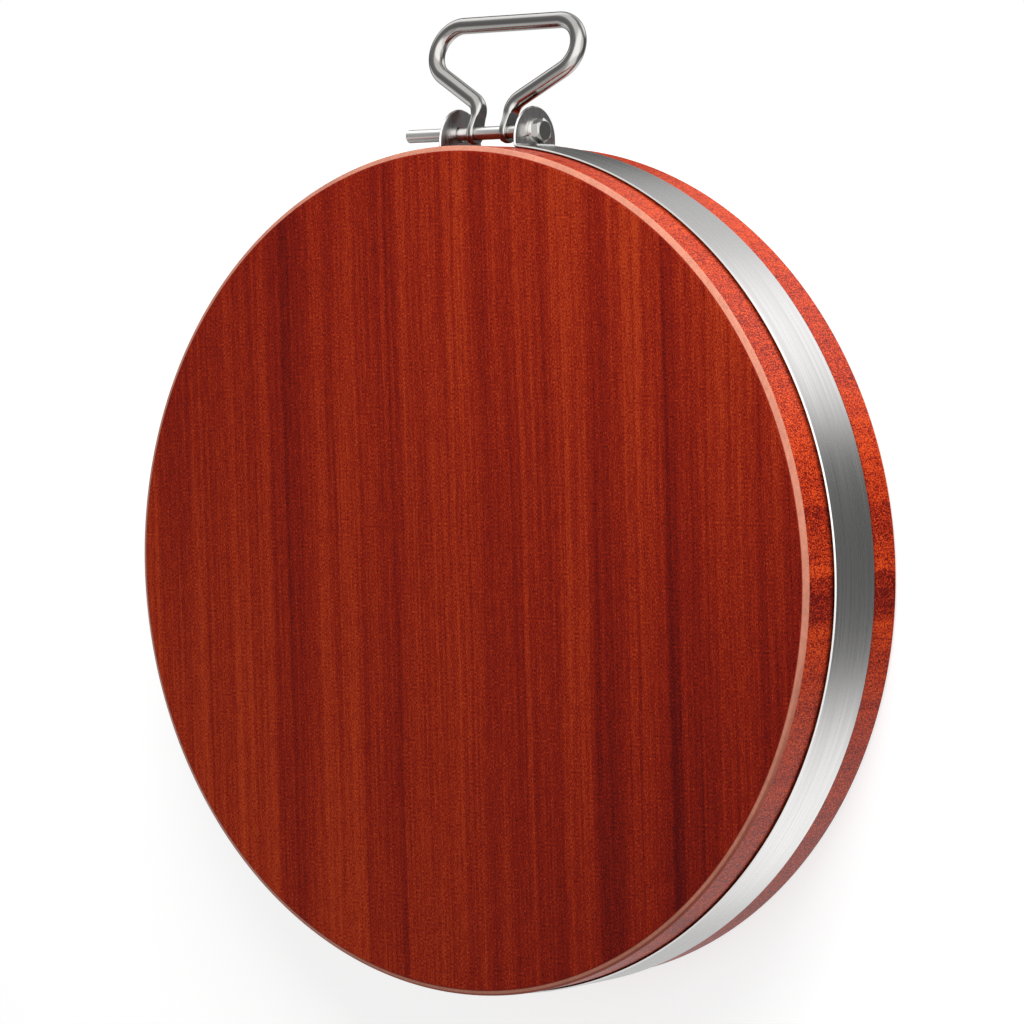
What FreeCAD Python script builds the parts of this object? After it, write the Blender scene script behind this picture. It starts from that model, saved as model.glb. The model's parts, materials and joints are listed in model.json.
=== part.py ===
import FreeCAD, Part

import math
import os

# Round chopping block: a wooden slab in a steel hoop, with a wire handle on the hoop's bolt.
# Millimetres. The block lies flat on its underside, its axis is Z, its centre is at X = Y = 0,
# and the handle points out along +Y, at rest leaning a little towards the underside.

# Wooden slab
BLOCK_DIAMETER = 380.0
BLOCK_HEIGHT = 70.0
BEVEL_WIDTH = 2.8        # edge bevel, measured inwards on the face
BEVEL_DEPTH = 1.6        # edge bevel, measured down the rim

# Steel hoop, a strip with its two ends folded outwards as ears
STRIP_WIDTH = 30.0
STRIP_THICKNESS = 1.2
HOOP_CLEARANCE = 0.1     # between the strip and the wood
EAR_SPACING = 41.5       # clear room between the two ears
EAR_BEND_RADIUS = 1.0    # hollow side of the fold
EAR_STRAIGHT = 1.8       # flat height of an ear below its round top

# Hexagon bolt, nut and washers
BOLT_DIAMETER = 6.0
BOLT_LENGTH = 75.0       # below the head
BOLT_END_CHAMFER = 0.9
HEAD_HEIGHT = 4.0
NUT_HEIGHT = 5.0
HEX_ACROSS_FLATS = 10.0
HEX_FACE_DIAMETER = 8.4  # flat circle left by the chamfer on a head or nut
HEX_CHAMFER_ANGLE = 30.0
WASHER_DIAMETER = 11.0
WASHER_THICKNESS = 1.6
THREAD_CLEARANCE = 0.1   # nut bore over the bolt
HOLE_CLEARANCE = 0.5     # washer and ear holes over the bolt
FOLD_CLEARANCE = 0.05    # washer rim above the fold, and hexagon corners above the strip

# Wire handle
WIRE_DIAMETER = 7.5
LEG_SPACING = 18.8       # between the middles of the two legs
LEG_LENGTH = 9.0         # bolt axis to the start of the neck bend
NECK_RADIUS = 8.2        # bends are measured on the wire's middle line
ARM_SLOPE = 31.0         # arms above the line of the bolt, in degrees
ARM_LENGTH = 24.3
CORNER_RADIUS = 13.0
EYE_DIAMETER = 10.0
EYE_THICKNESS = 3.2
EYE_EDGE_CHAMFER = 0.6
EYE_CLEARANCE = 0.5      # eye hole over the bolt
EYE_RIM_GAP = 1.0        # eye above the wooden rim
FLAT_LENGTH = 4.6        # pressed flat of a leg, above the bolt's axis
FLAT_RUN_OUT = 8.5       # from there to the round wire, on the side that faces the other leg
HANDLE_SHIFT = -3.2      # middle of the handle along the bolt
HANDLE_LEAN = 18.0       # degrees towards the underside at rest

# Sizes that follow from the ones above
BLOCK_RADIUS = BLOCK_DIAMETER / 2
MID_HEIGHT = BLOCK_HEIGHT / 2
HOOP_INNER = BLOCK_RADIUS + HOOP_CLEARANCE
HOOP_OUTER = HOOP_INNER + STRIP_THICKNESS
EAR_INNER_X = EAR_SPACING / 2
EAR_OUTER_X = EAR_INNER_X + STRIP_THICKNESS
FOLD_X = EAR_OUTER_X + EAR_BEND_RADIUS
FOLD_Y = math.sqrt((HOOP_OUTER + EAR_BEND_RADIUS) ** 2 - FOLD_X ** 2)
EAR_ROUND_Y = FOLD_Y + EAR_STRAIGHT
EAR_TOP_Y = EAR_ROUND_Y + STRIP_WIDTH / 2
SEAT_X = EAR_OUTER_X + WASHER_THICKNESS
HEX_CORNER = HEX_ACROSS_FLATS / 2 / math.cos(math.pi / 6)

# The bolt lies as low as its washers, its hexagons and the handle's eyes allow.
BOLT_Y = max(
    FOLD_Y + WASHER_DIAMETER / 2 + FOLD_CLEARANCE,
    math.sqrt(HOOP_OUTER ** 2 - SEAT_X ** 2) + HEX_CORNER + FOLD_CLEARANCE,
    BLOCK_RADIUS + EYE_DIAMETER / 2 + EYE_RIM_GAP,
)

LENGTHWISE = FreeCAD.Vector(1, 0, 0)
UP = FreeCAD.Vector(0, 0, 1)


def point(x, y, z=0.0):
    return FreeCAD.Vector(x, y, z)


def line(start, end):
    return Part.LineSegment(start, end).toShape()


def arc(start, middle, end):
    return Part.Arc(start, middle, end).toShape()


def on_circle(centre, radius, degrees):
    angle = math.radians(degrees)
    return centre + point(radius * math.cos(angle), radius * math.sin(angle))


def bend(centre, radius, start_degrees, end_degrees):
    middle_degrees = (start_degrees + end_degrees) / 2
    return arc(
        on_circle(centre, radius, start_degrees),
        on_circle(centre, radius, middle_degrees),
        on_circle(centre, radius, end_degrees),
    )


def rod(diameter, start_x, end_x):
    """A round bar on the bolt's axis."""
    return Part.makeCylinder(diameter / 2, end_x - start_x, point(start_x, BOLT_Y, MID_HEIGHT), LENGTHWISE)


def turned(profile):
    """A solid turned on the bolt's axis from a closed profile of (x, radius) corners."""
    corners = [point(x, BOLT_Y + radius, MID_HEIGHT) for x, radius in profile]
    face = Part.Face(Part.makePolygon(corners + corners[:1]))
    return face.revolve(point(0, BOLT_Y, MID_HEIGHT), LENGTHWISE, 360)


def hexagon(start_x, end_x):
    """A hexagon bar on the bolt's axis, with two of its corners up and down along Y."""
    corners = []
    for index in range(6):
        angle = math.pi / 3 * index
        corner_y = BOLT_Y + HEX_CORNER * math.cos(angle)
        corner_z = MID_HEIGHT + HEX_CORNER * math.sin(angle)
        corners.append(point(start_x, corner_y, corner_z))
    face = Part.Face(Part.makePolygon(corners + corners[:1]))
    return face.extrude(point(end_x - start_x, 0))


def wood_block():
    profile = [
        point(0, 0, 0),
        point(BLOCK_RADIUS - BEVEL_WIDTH, 0, 0),
        point(BLOCK_RADIUS, 0, BEVEL_DEPTH),
        point(BLOCK_RADIUS, 0, BLOCK_HEIGHT - BEVEL_DEPTH),
        point(BLOCK_RADIUS - BEVEL_WIDTH, 0, BLOCK_HEIGHT),
        point(0, 0, BLOCK_HEIGHT),
    ]
    face = Part.Face(Part.makePolygon(profile + profile[:1]))
    return face.revolve(point(0, 0), UP, 360)


def strip_side(hoop_radius, fold_radius, ear_x):
    """One surface of the strip seen from above, from the right ear's top round to the left ear's top."""
    edges = [line(point(ear_x, EAR_TOP_Y), point(ear_x, FOLD_Y))]
    fold = point(FOLD_X, FOLD_Y)
    fold_degrees = math.degrees(math.atan2(FOLD_Y, FOLD_X))
    edges.append(bend(fold, fold_radius, 180, 180 + fold_degrees))
    edges.append(bend(point(0, 0), hoop_radius, fold_degrees, -180 - fold_degrees))
    left_fold = point(-FOLD_X, FOLD_Y)
    edges.append(bend(left_fold, fold_radius, -fold_degrees, 0))
    edges.append(line(point(-ear_x, FOLD_Y), point(-ear_x, EAR_TOP_Y)))
    return edges


def steel_hoop():
    outside = strip_side(HOOP_OUTER, EAR_BEND_RADIUS, EAR_OUTER_X)
    inside = strip_side(HOOP_INNER, EAR_BEND_RADIUS + STRIP_THICKNESS, EAR_INNER_X)
    ends = [
        line(point(side * EAR_INNER_X, EAR_TOP_Y), point(side * EAR_OUTER_X, EAR_TOP_Y))
        for side in (1, -1)
    ]
    outline = Part.Wire(Part.__sortEdges__(outside + inside + ends))
    strip = Part.Face(outline).extrude(point(0, 0, STRIP_WIDTH))
    strip.translate(point(0, 0, MID_HEIGHT - STRIP_WIDTH / 2))

    corner = point(-EAR_OUTER_X, EAR_ROUND_Y, MID_HEIGHT - STRIP_WIDTH / 2)
    square_tops = Part.makeBox(2 * EAR_OUTER_X, STRIP_WIDTH / 2, STRIP_WIDTH, corner)
    round_centre = point(-EAR_OUTER_X, EAR_ROUND_Y, MID_HEIGHT)
    round_tops = Part.makeCylinder(STRIP_WIDTH / 2, 2 * EAR_OUTER_X, round_centre, LENGTHWISE)
    holes = rod(BOLT_DIAMETER + HOLE_CLEARANCE, -EAR_OUTER_X, EAR_OUTER_X)
    return strip.cut(square_tops.cut(round_tops)).cut(holes)


def hex_blank(face_x, seat_x):
    """A hexagon bar whose corners are turned off to a flat circle at its face end."""
    length = abs(seat_x - face_x)
    face_radius = HEX_FACE_DIAMETER / 2
    seat_radius = face_radius + length / math.tan(math.radians(HEX_CHAMFER_ANGLE))
    towards_seat = LENGTHWISE * math.copysign(1, seat_x - face_x)
    cone = Part.makeCone(face_radius, seat_radius, length, point(face_x, BOLT_Y, MID_HEIGHT), towards_seat)
    return hexagon(face_x, seat_x).common(cone)


def clamp_bolt():
    end_x = SEAT_X - BOLT_LENGTH
    radius = BOLT_DIAMETER / 2
    shank = turned([
        (end_x, 0),
        (end_x, radius - BOLT_END_CHAMFER),
        (end_x + BOLT_END_CHAMFER, radius),
        (SEAT_X, radius),
        (SEAT_X, 0),
    ])
    head = hex_blank(SEAT_X + HEAD_HEIGHT, SEAT_X)
    return shank.fuse(head).removeSplitter()


def clamp_nut():
    outer_x = -SEAT_X - NUT_HEIGHT
    blank = hex_blank(outer_x, -SEAT_X)
    return blank.cut(rod(BOLT_DIAMETER + THREAD_CLEARANCE, outer_x, -SEAT_X))


def washer(start_x):
    end_x = start_x + WASHER_THICKNESS
    return rod(WASHER_DIAMETER, start_x, end_x).cut(rod(BOLT_DIAMETER + HOLE_CLEARANCE, start_x, end_x))


def press_cut(leg_x, side, run_out):
    """What pressing takes off one side of a leg: a flat level with the eye's, run out in an arc."""
    depth = (WIRE_DIAMETER - EYE_THICKNESS) / 2
    radius = (run_out ** 2 + depth ** 2) / (2 * depth)
    arc_degrees = math.degrees(math.asin(run_out / radius))
    flat_x = leg_x + side * EYE_THICKNESS / 2
    clear_x = leg_x + side * WIRE_DIAMETER
    flat_end = BOLT_Y + FLAT_LENGTH
    centre = point(flat_x + side * radius, flat_end)
    start_degrees = 90 + side * 90
    run = bend(centre, radius, start_degrees, start_degrees - side * arc_degrees)
    top = run.Vertexes[-1].Point
    outline = Part.Wire([
        line(point(flat_x, BOLT_Y), point(flat_x, flat_end)),
        run,
        line(top, point(clear_x, top.y)),
        line(point(clear_x, top.y), point(clear_x, BOLT_Y)),
        line(point(clear_x, BOLT_Y), point(flat_x, BOLT_Y)),
    ])
    return Part.Face(outline).extrude(UP * BLOCK_HEIGHT)


def handle_half():
    """The right half of the handle, from the middle of its bar down to its eye."""
    leg_x = LEG_SPACING / 2
    neck = point(leg_x + NECK_RADIUS, BOLT_Y + LEG_LENGTH, MID_HEIGHT)
    arm_start = on_circle(neck, NECK_RADIUS, ARM_SLOPE + 90)
    arm_end = on_circle(arm_start, ARM_LENGTH, ARM_SLOPE)
    corner = on_circle(arm_end, CORNER_RADIUS, ARM_SLOPE + 90)
    bar_end = on_circle(corner, CORNER_RADIUS, 90)
    bar_middle = point(0, bar_end.y, MID_HEIGHT)
    pivot = point(leg_x, BOLT_Y, MID_HEIGHT)
    route = Part.Wire([
        line(bar_middle, bar_end),
        bend(corner, CORNER_RADIUS, 90, ARM_SLOPE - 90),
        line(arm_end, arm_start),
        bend(neck, NECK_RADIUS, ARM_SLOPE + 90, 180),
        line(pivot + point(0, LEG_LENGTH), pivot),
    ])
    outline = Part.Wire(Part.makeCircle(WIRE_DIAMETER / 2, bar_middle, LENGTHWISE))
    wire = route.makePipeShell([outline], True, False)
    facing_flat = press_cut(leg_x, -1, FLAT_RUN_OUT)
    outer_flat = press_cut(leg_x, 1, LEG_LENGTH - FLAT_LENGTH)
    wire = wire.cut([facing_flat, outer_flat])

    eye = rod(EYE_DIAMETER, leg_x - EYE_THICKNESS / 2, leg_x + EYE_THICKNESS / 2)
    rims = [edge for edge in eye.Edges if isinstance(edge.Curve, Part.Circle)]
    eye = eye.makeChamfer(EYE_EDGE_CHAMFER, rims)
    return wire.fuse(eye)


def carry_handle():
    right = handle_half()
    left = right.mirror(point(0, 0), LENGTHWISE)
    handle = right.fuse(left).removeSplitter()
    handle = handle.cut(rod(BOLT_DIAMETER + EYE_CLEARANCE, -EAR_INNER_X, EAR_INNER_X))
    handle.translate(point(HANDLE_SHIFT, 0))
    handle.rotate(point(0, BOLT_Y, MID_HEIGHT), LENGTHWISE, -HANDLE_LEAN)
    return handle


PIECES = {
    "wood_block": wood_block(),
    "steel_hoop": steel_hoop(),
    "clamp_bolt": clamp_bolt(),
    "clamp_nut": clamp_nut(),
    "head_washer": washer(EAR_OUTER_X),
    "nut_washer": washer(-SEAT_X),
    "carry_handle": carry_handle(),
}

os.makedirs("parts", exist_ok=True)
for name, shape in PIECES.items():
    shape.exportStep("parts/" + name + ".step")
    print(name, len(shape.Solids), "solid,", round(shape.Volume), "cubic mm, valid", shape.isValid())
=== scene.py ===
"""Round hardwood chopping block with a clamped steel hoop and a swinging wire handle."""

import json
import math

import bmesh
import bpy
from bpy.props import FloatProperty, FloatVectorProperty, PointerProperty
from bpy.types import Operator, Panel, PropertyGroup
from mathutils import Matrix, Vector


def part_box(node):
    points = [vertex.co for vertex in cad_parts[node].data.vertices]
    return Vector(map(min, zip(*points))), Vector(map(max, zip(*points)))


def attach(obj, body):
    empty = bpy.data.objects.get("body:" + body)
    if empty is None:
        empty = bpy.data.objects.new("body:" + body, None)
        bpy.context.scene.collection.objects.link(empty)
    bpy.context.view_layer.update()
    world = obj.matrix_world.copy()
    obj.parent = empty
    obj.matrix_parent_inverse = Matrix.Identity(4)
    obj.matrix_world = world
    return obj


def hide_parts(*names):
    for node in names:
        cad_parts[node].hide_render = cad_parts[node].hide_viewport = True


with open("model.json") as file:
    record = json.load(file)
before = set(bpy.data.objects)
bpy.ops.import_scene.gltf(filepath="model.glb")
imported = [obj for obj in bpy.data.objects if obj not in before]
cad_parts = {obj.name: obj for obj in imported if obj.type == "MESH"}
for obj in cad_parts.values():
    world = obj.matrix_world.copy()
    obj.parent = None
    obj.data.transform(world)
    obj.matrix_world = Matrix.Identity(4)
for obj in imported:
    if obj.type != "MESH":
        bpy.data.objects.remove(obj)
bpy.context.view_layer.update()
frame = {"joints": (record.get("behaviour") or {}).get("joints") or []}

bl_info = {
    "name": "Round Chopping Block",
    "version": (1, 0, 0),
    "blender": (4, 5, 0),
    "location": "View3D > Sidebar > Chopping Block",
    "description": "Builds a hooped chopping block with its bolt and carrying handle",
    "category": "Object",
}

MM = 0.001
# Points closer than this are one.
WELD = 0.002 * MM
FULL_TURN = 2 * math.pi
QUARTER_TURN = math.pi / 2

# Facets round the slab and hoop, round the wire and round the bolt.
ROUND_STEPS = 256
WIRE_STEPS = 48
BOLT_STEPS = 72
# Edges that turn less than this are shaded smooth.
SMOOTH_ANGLE = math.radians(32)
# Facets across a rounded edge and the shape of its rounding, where 0.5 is a circle's.
ROUND_SEGMENTS = 3
ROUND_PROFILE = 0.5

BLOCK_LOW, BLOCK_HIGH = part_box("wood_block")
HOOP_LOW, HOOP_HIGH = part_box("steel_hoop")
BOLT_LOW, BOLT_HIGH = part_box("clamp_bolt")
# The handle's hinge lies on the bolt's axis.
BOLT_AXIS = Vector(frame["joints"][0]["pos_m"])


def linear_colour(hex_text):
    """Linear RGB of an sRGB hex colour."""
    channels = [int(hex_text[start:start + 2], 16) / 255 for start in (1, 3, 5)]
    return tuple(c / 12.92 if c <= 0.04045 else ((c + 0.055) / 1.055) ** 2.4 for c in channels)


class WoodBlockSettings(PropertyGroup):
    """Sizes and colours of the slab."""

    radius: FloatProperty(
        name="Radius", description="Radius of the turned slab", default=190.0 * MM, unit="LENGTH")
    bevel_width: FloatProperty(
        name="Bevel width", description="Width of the bevel across the face",
        default=2.8 * MM, unit="LENGTH")
    bevel_depth: FloatProperty(
        name="Bevel depth", description="Depth of the bevel down the rim",
        default=1.6 * MM, unit="LENGTH")
    edge_round: FloatProperty(
        name="Edge round", description="Sanded rounding of the bevel's edges",
        default=0.6 * MM, unit="LENGTH")
    dark: FloatVectorProperty(
        name="Dark grain", description="Dark streaks of the face",
        default=linear_colour("#4c0b0a"), subtype="COLOR")
    middle: FloatVectorProperty(
        name="Heartwood", description="Main colour of the face",
        default=linear_colour("#831c0e"), subtype="COLOR")
    light: FloatVectorProperty(
        name="Light grain", description="Light streaks of the face",
        default=linear_colour("#b13f1a"), subtype="COLOR")
    bevel: FloatVectorProperty(
        name="Bevel", description="Freshly sanded wood of the bevel",
        default=linear_colour("#c07d67"), subtype="COLOR")
    rim: FloatVectorProperty(
        name="Rim", description="Main colour of the rim",
        default=linear_colour("#b02c09"), subtype="COLOR")
    rim_band: FloatVectorProperty(
        name="Rim bands", description="Dark growth bands on the rim",
        default=linear_colour("#660903"), subtype="COLOR")
    rim_light: FloatVectorProperty(
        name="Rim flecks", description="Light flecks between the pores of the rim",
        default=linear_colour("#dc4e12"), subtype="COLOR")


class HoopSettings(PropertyGroup):
    """Sizes and colour of the hoop strip."""

    thickness: FloatProperty(
        name="Strip thickness", description="Thickness of the steel strip",
        default=1.2 * MM, unit="LENGTH")
    clearance: FloatProperty(
        name="Clearance", description="Gap between the strip and the slab",
        default=0.1 * MM, unit="LENGTH")
    ear_spacing: FloatProperty(
        name="Ear spacing", description="Distance between the ears' inner faces",
        default=41.5 * MM, unit="LENGTH")
    bend_radius: FloatProperty(
        name="Bend radius", description="Inside radius of the fold at each ear",
        default=1.0 * MM, unit="LENGTH")
    ear_straight: FloatProperty(
        name="Ear straight", description="Straight part of an ear below its round end",
        default=1.8 * MM, unit="LENGTH")
    hole: FloatProperty(
        name="Bolt hole", description="Diameter of the bolt hole in an ear",
        default=6.5 * MM, unit="LENGTH")
    edge_chamfer: FloatProperty(
        name="Edge chamfer", description="Chamfer that breaks the strip's edges",
        default=0.55 * MM, unit="LENGTH")
    colour: FloatVectorProperty(
        name="Steel", description="Colour of the brushed strip",
        default=linear_colour("#c6c5c4"), subtype="COLOR")


class FastenerSettings(PropertyGroup):
    """Sizes and colours of the bolt, nut and washers."""

    diameter: FloatProperty(
        name="Bolt diameter", description="Diameter of the bolt shank", default=6.0 * MM, unit="LENGTH")
    head_height: FloatProperty(
        name="Head height", description="Height of the hexagon head", default=4.0 * MM, unit="LENGTH")
    across_flats: FloatProperty(
        name="Across flats", description="Width of the head and nut over their flats",
        default=10.0 * MM, unit="LENGTH")
    face_diameter: FloatProperty(
        name="Face diameter", description="Flat round end of the head and nut",
        default=8.4 * MM, unit="LENGTH")
    hex_chamfer: FloatProperty(
        name="Hexagon chamfer", description="Slope of the cone that cuts the corners",
        default=math.radians(30), subtype="ANGLE")
    end_chamfer: FloatProperty(
        name="End chamfer", description="Chamfer at the bolt's free end", default=0.9 * MM, unit="LENGTH")
    nut_clearance: FloatProperty(
        name="Nut clearance", description="Gap between the nut and the bolt",
        default=0.1 * MM, unit="LENGTH")
    washer_hole: FloatProperty(
        name="Washer hole", description="Diameter of the hole in a washer",
        default=6.5 * MM, unit="LENGTH")
    edge_round: FloatProperty(
        name="Edge round", description="Rounding of sharp edges", default=0.14 * MM, unit="LENGTH")
    colour: FloatVectorProperty(
        name="Plated steel", description="Colour of the plated shank, nut and washers",
        default=linear_colour("#e8e6e3"), subtype="COLOR")
    head_colour: FloatVectorProperty(
        name="Head steel", description="Colour of the bright cold-headed bolt head",
        default=linear_colour("#b8b6b3"), subtype="COLOR")


class HandleSettings(PropertyGroup):
    """Sizes and colour of the bent wire handle."""

    wire: FloatProperty(
        name="Wire diameter", description="Diameter of the round wire", default=7.5 * MM, unit="LENGTH")
    leg_spacing: FloatProperty(
        name="Leg spacing", description="Distance between the legs' centre lines",
        default=18.8 * MM, unit="LENGTH")
    leg_length: FloatProperty(
        name="Leg length", description="Straight leg above the bolt", default=9.0 * MM, unit="LENGTH")
    neck_radius: FloatProperty(
        name="Neck radius", description="Bend from a leg into an arm", default=8.2 * MM, unit="LENGTH")
    arm_slope: FloatProperty(
        name="Arm slope", description="Rise of an arm above the bolt's direction",
        default=math.radians(31), subtype="ANGLE")
    arm_length: FloatProperty(
        name="Arm length", description="Straight part of an arm", default=24.3 * MM, unit="LENGTH")
    corner_radius: FloatProperty(
        name="Corner radius", description="Bend from an arm into the bar", default=13.0 * MM, unit="LENGTH")
    eye_diameter: FloatProperty(
        name="Eye diameter", description="Diameter of the flattened eye", default=10.0 * MM, unit="LENGTH")
    eye_thickness: FloatProperty(
        name="Eye thickness", description="Thickness of the pressed eye", default=3.2 * MM, unit="LENGTH")
    eye_hole: FloatProperty(
        name="Eye hole", description="Diameter of the hole in an eye", default=6.5 * MM, unit="LENGTH")
    eye_edge: FloatProperty(
        name="Eye edge", description="Rounding of the eye's edge", default=0.5 * MM, unit="LENGTH")
    flat_length: FloatProperty(
        name="Flat length", description="Full-depth flat above the bolt", default=4.6 * MM, unit="LENGTH")
    flat_run_out: FloatProperty(
        name="Flat run-out", description="Length along the wire in which a flat runs out",
        default=12.0 * MM, unit="LENGTH")
    shift: FloatProperty(
        name="Shift", description="Place of the handle along the bolt", default=-3.2 * MM, unit="LENGTH")
    lean: FloatProperty(
        name="Lean", description="Lean of the handle at rest, towards the underside",
        default=math.radians(18), subtype="ANGLE")
    colour: FloatVectorProperty(
        name="Steel", description="Colour of the polished wire",
        default=linear_colour("#aaa8a5"), subtype="COLOR")


class StageSettings(PropertyGroup):
    """Floor and camera."""

    floor: FloatVectorProperty(
        name="Floor", description="Colour of the floor", default=linear_colour("#f2f2f2"), subtype="COLOR")
    camera_place: FloatVectorProperty(
        name="Camera place", description="Where the camera stands",
        default=(1.26128, 0.11405, 1.63081), subtype="TRANSLATION", unit="LENGTH")
    camera_turn: FloatProperty(
        name="Camera turn", description="Turn of the view towards the right side",
        default=math.radians(38.202), subtype="ANGLE")
    camera_tip: FloatProperty(
        name="Camera tip", description="Tip of the view towards the handle",
        default=math.radians(-2.5), subtype="ANGLE")
    camera_roll: FloatProperty(
        name="Camera roll", description="Roll of the view", default=math.radians(-0.869), subtype="ANGLE")
    lens: FloatProperty(
        name="Lens", description="Focal length in millimetres on a 36 mm frame", default=158.2)


class ChoppingBlockSettings(PropertyGroup):
    """All settings of the chopping block."""

    wood: PointerProperty(type=WoodBlockSettings)
    hoop: PointerProperty(type=HoopSettings)
    fasteners: PointerProperty(type=FastenerSettings)
    handle: PointerProperty(type=HandleSettings)
    stage: PointerProperty(type=StageSettings)


# Shared mesh work


def lathe(bm, outline, axis, steps, closed=False):
    """Turns an outline of points a full turn about an axis through the origin."""
    verts = [bm.verts.new(point) for point in outline]
    pairs = list(zip(verts, verts[1:]))
    if closed:
        pairs.append((verts[-1], verts[0]))
    edges = [bm.edges.new(pair) for pair in pairs]
    bmesh.ops.spin(bm, geom=verts + edges, cent=(0, 0, 0), axis=axis, angle=FULL_TURN, steps=steps,
                   use_merge=True)
    bmesh.ops.remove_doubles(bm, verts=bm.verts, dist=WELD)


def sweep(bm, ring, steps, centre=(0, 0, 0), angle=0.0, move=(0, 0, 0)):
    """Carries an open ring round a bend about Z, or along a straight move, and returns its last copy."""
    made = bmesh.ops.spin(bm, geom=ring, cent=centre, axis=(0, 0, 1), angle=angle, steps=steps,
                          dvec=Vector(move) / steps)
    return made["geom_last"]


def along_x(place):
    """A move to a place, with a turn that lays a round shape's axis along X."""
    return Matrix.Translation(place) @ Matrix.Rotation(QUARTER_TURN, 4, "Y")


def close_mesh(bm):
    """Welds doubles and turns all faces outwards."""
    bmesh.ops.remove_doubles(bm, verts=bm.verts, dist=WELD)
    bmesh.ops.dissolve_degenerate(bm, edges=bm.edges, dist=WELD)
    bmesh.ops.recalc_face_normals(bm, faces=bm.faces)


def new_object(name, bm, materials=()):
    """Makes a linked object from a bmesh and frees the bmesh."""
    mesh = bpy.data.meshes.new(name)
    for material in materials:
        mesh.materials.append(material)
    bm.to_mesh(mesh)
    bm.free()
    piece = bpy.data.objects.new(name, mesh)
    bpy.context.scene.collection.objects.link(piece)
    return piece


def dress_edges(piece, width, least_angle, segments=ROUND_SEGMENTS):
    """Adds a Bevel modifier that rounds the sharp edges, or chamfers them in one segment."""
    edge = piece.modifiers.new("Dressed edges", "BEVEL")
    edge.width = width
    edge.segments = segments
    edge.limit_method = "ANGLE"
    edge.angle_limit = least_angle


def apply_modifiers(piece):
    """Replaces the mesh by the one its modifiers make."""
    final = bpy.data.meshes.new_from_object(piece.evaluated_get(bpy.context.evaluated_depsgraph_get()))
    rough = piece.data
    piece.modifiers.clear()
    piece.data = final
    bpy.data.meshes.remove(rough)
    final.name = piece.name


def finish_piece(piece, body, node):
    """Applies the modifiers, keeps flat faces flat in the light and hangs the piece in its node's place."""
    apply_modifiers(piece)
    piece.data.shade_smooth()
    piece.data.set_sharp_from_angle(angle=SMOOTH_ANGLE)
    piece.modifiers.new("Flat faces", "WEIGHTED_NORMAL").keep_sharp = True
    apply_modifiers(piece)
    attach(piece, body)
    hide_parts(node)


# Shared material work

# Tones of the marks at which a finish has its darkest and its lightest shade.
SHADE_TONES = (0.1, 0.9)


def add_node(tree, kind, inputs=None, stops=(), **settings):
    """Adds a node with its settings; each input is a value or a socket to link.

    A Mix node has its numbers at inputs 2 and 3, and its colours at inputs 6 and 7 and output 2.
    """
    node = tree.nodes.new(kind)
    for name, value in settings.items():
        setattr(node, name, value)
    for key, value in (inputs or {}).items():
        if isinstance(value, bpy.types.NodeSocket):
            tree.links.new(value, node.inputs[key])
        else:
            node.inputs[key].default_value = value
    for position, _ in stops[1:-1]:
        node.color_ramp.elements.new(position)
    for index, (position, colour) in enumerate(stops):
        node.color_ramp.elements[index].position = position
        node.color_ramp.elements[index].color = (*colour, 1.0)
    return node


def new_material(name):
    """An empty node material and its tree."""
    material = bpy.data.materials.new(name)
    material.use_nodes = True
    material.node_tree.nodes.clear()
    return material, material.node_tree


def noise_tone(tree, place, layers, tone=0.5):
    """Adds layers of stretched noise to a tone, each given as (cell in mm, weight, detail)."""
    spread = sum(weight for _, weight, _ in layers)
    tone = add_node(tree, "ShaderNodeMath", {0: tone, 1: spread / 2}, operation="SUBTRACT").outputs[0]
    for cell, weight, detail in layers:
        stretched = add_node(tree, "ShaderNodeMapping",
                             {"Vector": place, "Scale": [1 / (size * MM) for size in cell]})
        noise = add_node(tree, "ShaderNodeTexNoise",
                         {"Vector": stretched.outputs[0], "Scale": 1.0, "Detail": detail})
        tone = add_node(tree, "ShaderNodeMath", {0: noise.outputs[0], 1: weight, 2: tone},
                        operation="MULTIPLY_ADD").outputs[0]
    return tone


def band_tone(tree, across, bands):
    """A tone that eases from band to band, each given as (place in mm, tone)."""
    low, high = bands[0][0], bands[-1][0]
    share = add_node(tree, "ShaderNodeMapRange",
                     {"Value": across, "From Min": low * MM, "From Max": high * MM}).outputs[0]
    ramp = add_node(tree, "ShaderNodeValToRGB", {"Fac": share},
                    stops=[((place - low) / (high - low), (tone,) * 3) for place, tone in bands])
    ramp.color_ramp.interpolation = "EASE"
    return ramp.outputs[0]


# Wood

# Grain of the face: cells across, along and through the slab in mm, weight and detail. The last three are
# fibres and pores, drawn coarser than those of real padauk, which are too fine to show.
FACE_LAYERS = (
    ((34, 1500, 60), 0.26, 1.0),
    ((9, 900, 20), 0.36, 1.0),
    ((2.8, 420, 8), 0.30, 1.0),
    ((1.1, 150, 4), 0.50, 1.0),
    ((1.0, 7, 3), 0.30, 0.0),
    ((0.5, 1.0, 2.0), 1.05, 0.0),
)
# Bands that run the length of the face: place across it in mm and tone.
FACE_BANDS = (
    (-190, 0.52), (-156, 0.53), (-128, 0.62), (-118, 0.52), (-112, 0.54), (-94, 0.27), (-84, 0.46),
    (-77, 0.56), (-70, 0.48), (-64, 0.60), (-44, 0.47), (-37, 0.46), (-34, 0.32), (-31, 0.49),
    (-26, 0.59), (-16, 0.49), (-6, 0.54), (10, 0.53), (20, 0.36), (27, 0.49), (34, 0.38),
    (41, 0.49), (56, 0.38), (64, 0.59), (71, 0.54), (81, 0.40), (98, 0.56), (115, 0.44),
    (120, 0.15), (126, 0.38), (152, 0.47), (190, 0.38),
)
# Painted light and shade on the face: its tone rises where X and Y have the same sign and falls where
# they differ; change of tone for 100 mm along the board at 100 mm from its middle line.
FACE_LIGHT_SLANT = 0.08
LIGHT_SLANT_REACH = 100 * MM
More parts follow.
